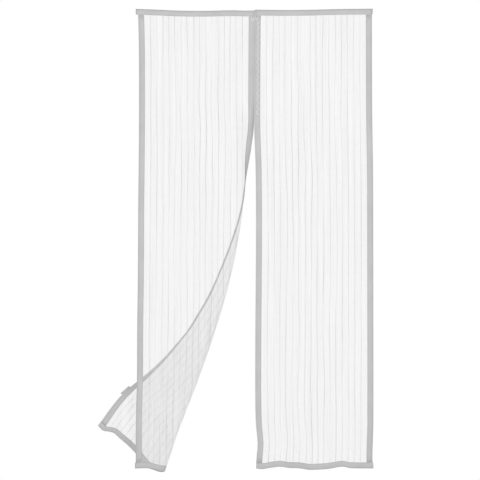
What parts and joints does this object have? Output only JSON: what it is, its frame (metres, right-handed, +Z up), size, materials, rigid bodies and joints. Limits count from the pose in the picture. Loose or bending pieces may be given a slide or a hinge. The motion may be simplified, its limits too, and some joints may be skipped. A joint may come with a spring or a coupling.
{
  "type": "magnetic insect screen",
  "caption": "Hanging insect screen for a doorway: two striped net panels bound in tape, closed by small magnets along the middle, with the lower half of one panel folded back.",
  "frame": {"origin": "middle of the header hook strip's back face, which is stuck to the door frame", "axes": "+X to the right across the doorway as seen from the front, +Y back towards the door frame and the folded flap, +Z up; the front of the screen faces -Y"},
  "size_m": [1.2619, 0.1426, 2.118],
  "materials": {
    "white_net": "fine striped mesh, matt",
    "grey_tape": "woven binding tape, matt",
    "loop_pile": "soft loop pile",
    "hook_strip": "moulded hooks, satin",
    "magnet_steel": "nickel-plated, satin"
  },
  "bodies": {
    "root": {"header_hook_strip": "hook_strip", "left_header_loop": "loop_pile", "left_header_tape": "grey_tape", "left_hem_tape": "grey_tape", "left_magnet_01": "magnet_steel", "left_magnet_02": "magnet_steel", "left_magnet_03": "magnet_steel", "left_magnet_04": "magnet_steel", "left_magnet_05": "magnet_steel", "left_magnet_06": "magnet_steel", "left_magnet_07": "magnet_steel", "left_magnet_08": "magnet_steel", "left_magnet_09": "magnet_steel", "left_meeting_edge_tape": "grey_tape", "left_net": "white_net", "left_side_hook_strip": "hook_strip", "left_side_loop": "loop_pile", "left_side_tape": "grey_tape", "opening_tab": "grey_tape", "right_header_loop": "loop_pile", "right_header_tape": "grey_tape", "right_hem_tape": "grey_tape", "right_magnet_01": "magnet_steel", "right_magnet_02": "magnet_steel", "right_magnet_03": "magnet_steel", "right_magnet_04": "magnet_steel", "right_magnet_05": "magnet_steel", "right_magnet_06": "magnet_steel", "right_magnet_07": "magnet_steel", "right_magnet_08": "magnet_steel", "right_magnet_09": "magnet_steel", "right_meeting_edge_tape": "grey_tape", "right_net": "white_net", "right_side_hook_strip": "hook_strip", "right_side_loop": "loop_pile", "right_side_tape": "grey_tape"}
  },
  "joints": []
}
